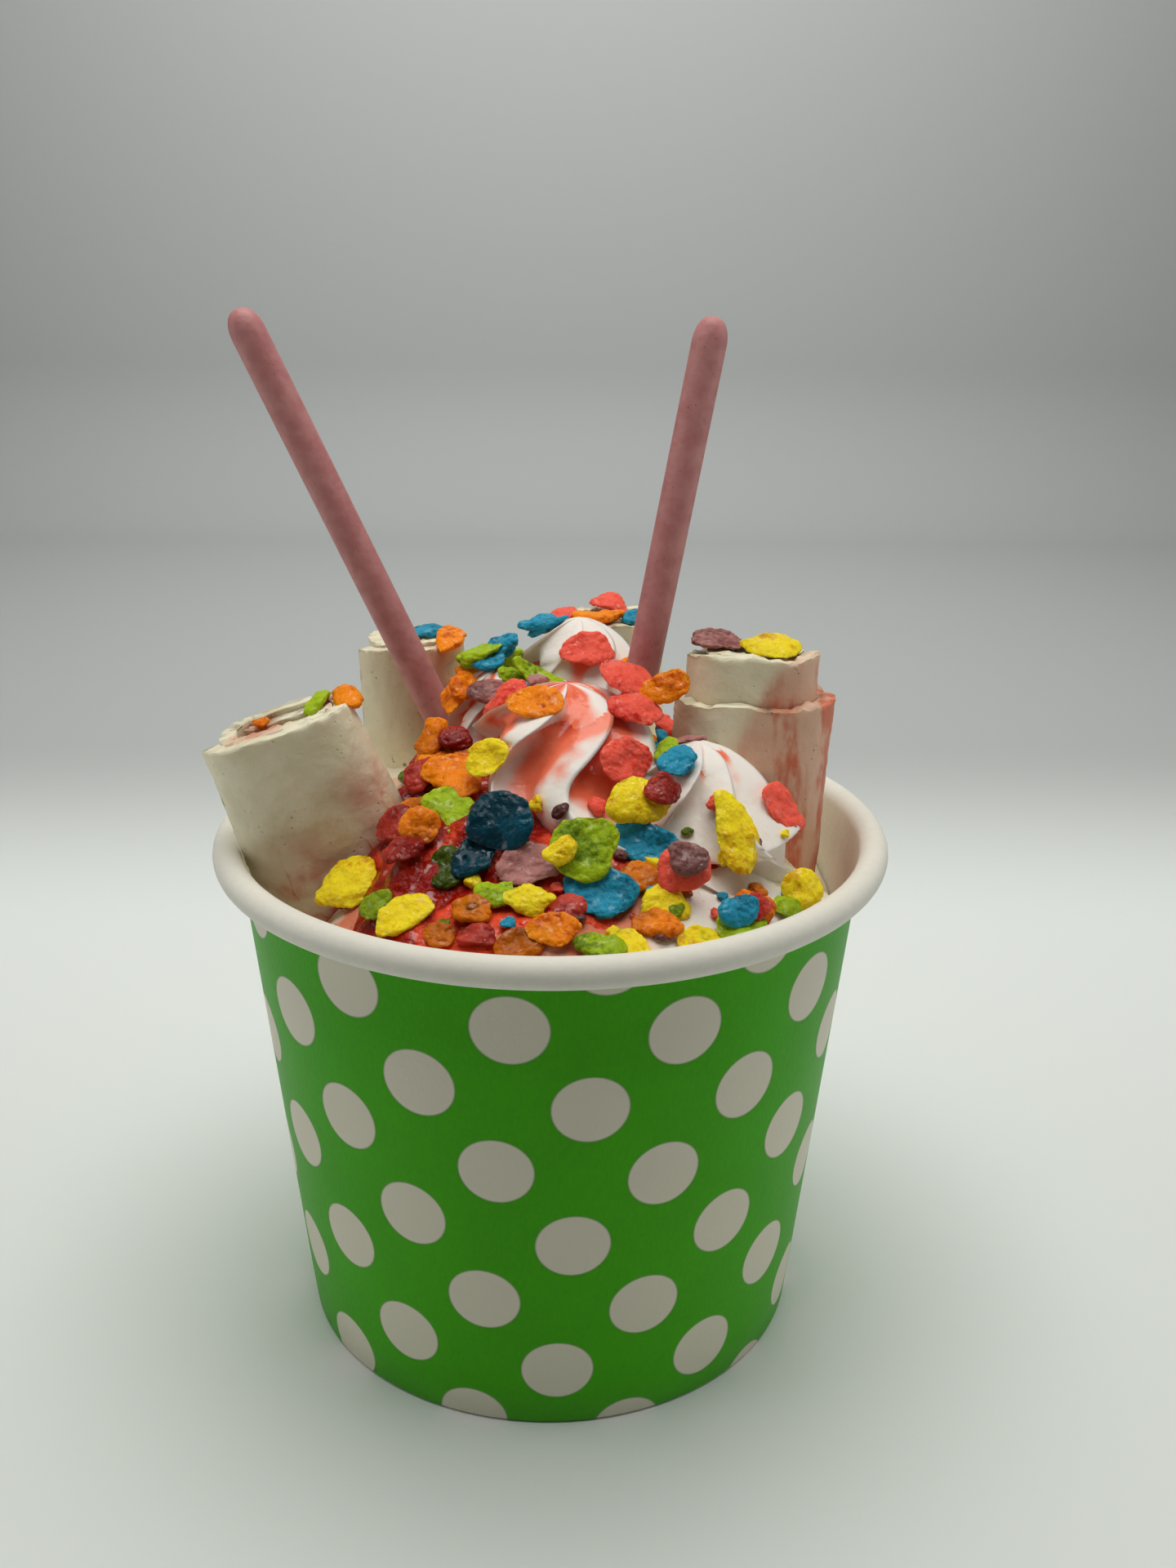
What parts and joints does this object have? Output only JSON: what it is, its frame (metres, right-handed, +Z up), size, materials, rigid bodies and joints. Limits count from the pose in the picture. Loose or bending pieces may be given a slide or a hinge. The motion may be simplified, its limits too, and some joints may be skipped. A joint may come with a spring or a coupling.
{
  "type": "cup of rolled ice cream",
  "caption": "Round paper cup with a rolled rim and polka dots, filled with upright rolls of ice cream, whipped cream, strawberry sauce, coloured rice flakes and thin biscuit sticks.",
  "frame": {"origin": "centre of the cup's foot, on the surface it stands on", "axes": "+Z up, -Y the front that the picture shows, +X to the right seen from the front"},
  "size_m": [0.097, 0.097, 0.147],
  "materials": {
    "paper_green": "satin printed paperboard, green with white dots outside, white inside and on the rim",
    "paper_white": "matte white paperboard",
    "ice_cream": "frozen scraped ice cream, pale greenish cream, faintly moist",
    "whipped_cream": "soft white whipped cream",
    "strawberry_sauce": "wet glossy red sauce",
    "biscuit_stick": "dusty pink coating with fine dark specks",
    "flake_red": "puffed rice flake, moist gloss",
    "flake_orange": "puffed rice flake, moist gloss",
    "flake_yellow": "puffed rice flake, moist gloss",
    "flake_green": "puffed rice flake, moist gloss",
    "flake_blue": "puffed rice flake, moist gloss",
    "flake_purple": "puffed rice flake, moist gloss"
  },
  "bodies": {
    "root": {"cup_base": "paper_white", "cup_wall": "paper_green", "flake_blue_1": "flake_blue", "flake_blue_2": "flake_blue", "flake_blue_3": "flake_blue", "flake_blue_4": "flake_blue", "flake_blue_5": "flake_blue", "flake_blue_6": "flake_blue", "flake_blue_7": "flake_blue", "flake_blue_8": "flake_blue", "flake_green_1": "flake_green", "flake_green_2": "flake_green", "flake_green_3": "flake_green", "flake_green_4": "flake_green", "flake_green_5": "flake_green", "flake_green_6": "flake_green", "flake_green_7": "flake_green", "flake_orange_1": "flake_orange", "flake_orange_10": "flake_orange", "flake_orange_2": "flake_orange", "flake_orange_3": "flake_orange", "flake_orange_4": "flake_orange", "flake_orange_5": "flake_orange", "flake_orange_6": "flake_orange", "flake_orange_7": "flake_orange", "flake_orange_8": "flake_orange", "flake_orange_9": "flake_orange", "flake_purple_1": "flake_purple", "flake_purple_2": "flake_purple", "flake_purple_3": "flake_purple", "flake_purple_4": "flake_purple", "flake_red_1": "flake_red", "flake_red_2": "flake_red", "flake_red_3": "flake_red", "flake_red_4": "flake_red", "flake_red_5": "flake_red", "flake_red_6": "flake_red", "flake_red_7": "flake_red", "flake_red_8": "flake_red", "flake_red_9": "flake_red", "flake_yellow_1": "flake_yellow", "flake_yellow_10": "flake_yellow", "flake_yellow_11": "flake_yellow", "flake_yellow_2": "flake_yellow", "flake_yellow_3": "flake_yellow", "flake_yellow_4": "flake_yellow", "flake_yellow_5": "flake_yellow", "flake_yellow_6": "flake_yellow", "flake_yellow_7": "flake_yellow", "flake_yellow_8": "flake_yellow", "flake_yellow_9": "flake_yellow", "ice_cream_bed": "ice_cream", "roll_back": "ice_cream", "roll_back_left": "ice_cream", "roll_left": "ice_cream", "roll_right": "ice_cream", "stick_left": "biscuit_stick", "stick_right": "biscuit_stick", "strawberry_sauce": "strawberry_sauce", "whipped_cream": "whipped_cream"}
  },
  "joints": []
}
